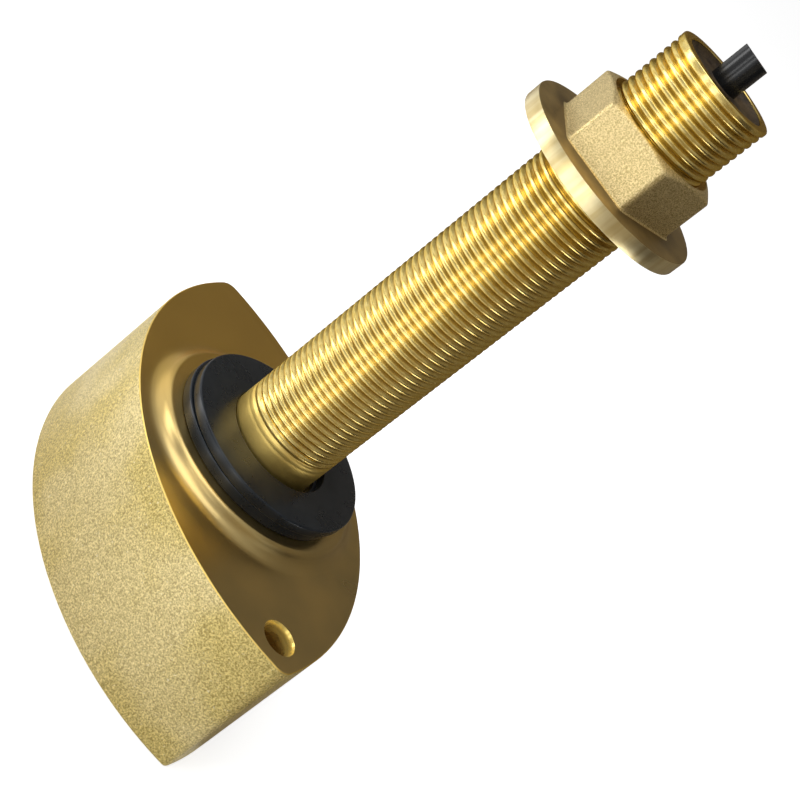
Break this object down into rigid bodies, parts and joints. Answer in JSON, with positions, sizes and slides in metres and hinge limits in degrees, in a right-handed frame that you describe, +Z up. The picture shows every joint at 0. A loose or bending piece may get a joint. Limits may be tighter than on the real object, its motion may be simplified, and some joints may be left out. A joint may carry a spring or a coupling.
{
  "type": "through-hull sonar transducer",
  "caption": "Lens-shaped cast bronze sonar transducer with a hollow threaded stem, flanged hex hull nut and rubber seal washers for clamping through a boat hull.",
  "frame": {"origin": "on the stem axis in the plane of the acoustic face, at the bottom centre", "axes": "+Z up the stem, +X along the housing towards the tip with the bolt hole"},
  "size_m": [0.1544, 0.088, 0.2351],
  "materials": {
    "cast_bronze": "sand-cast sides, machined satin top, polished stem",
    "nut_brass": "grit-blasted casting with a turned flange rim",
    "seal_rubber": "matt black rubber",
    "window_urethane": "satin black cast urethane",
    "cork": "pressed cork composite",
    "ceramic": "silvered piezo ceramic",
    "ferrite": "matt sintered ferrite",
    "copper": "bright drawn copper",
    "board": "green lacquered laminate",
    "red_wire": "smooth wire insulation",
    "white_wire": "smooth wire insulation",
    "potting": "satin dark sealing compound",
    "cable_black": "satin black cable jacket",
    "braid": "tinned copper braid",
    "foam": "closed-cell foam"
  },
  "bodies": {
    "transducer": {"housing": "cast_bronze", "lower_seal_washer": "seal_rubber", "upper_seal_washer": "seal_rubber", "acoustic_window": "window_urethane", "element_carrier": "cork", "disc_backing": "cork", "disc_element": "ceramic", "transformer_core": "ferrite", "transformer_winding": "copper", "terminal_board": "board", "signal_lead": "red_wire", "return_lead": "white_wire", "cavity_potting": "potting", "stem_potting": "potting", "cable_jacket": "cable_black", "cable_shield": "braid", "core_insulation_1": "red_wire", "core_insulation_2": "white_wire", "conductor_1": "copper", "conductor_2": "copper", "bar_element_1": "ceramic", "bar_backing_1": "foam", "bar_lead_1": "red_wire", "bar_element_2": "ceramic", "bar_backing_2": "foam", "bar_lead_2": "red_wire", "bar_element_3": "ceramic", "bar_backing_3": "foam", "bar_lead_3": "red_wire", "bar_element_4": "ceramic", "bar_backing_4": "foam", "bar_lead_4": "red_wire", "bar_element_5": "ceramic", "bar_backing_5": "foam", "bar_lead_5": "red_wire", "bar_element_6": "ceramic", "bar_backing_6": "foam", "bar_lead_6": "red_wire"},
    "nut": {"hull_nut": "nut_brass"}
  },
  "joints": [
    {"name": "hull_nut_run", "type": "slide", "parent": "transducer", "child": "nut", "axis": [0, 0, 1], "range_m": [-0.1229, 0.03]}
  ]
}
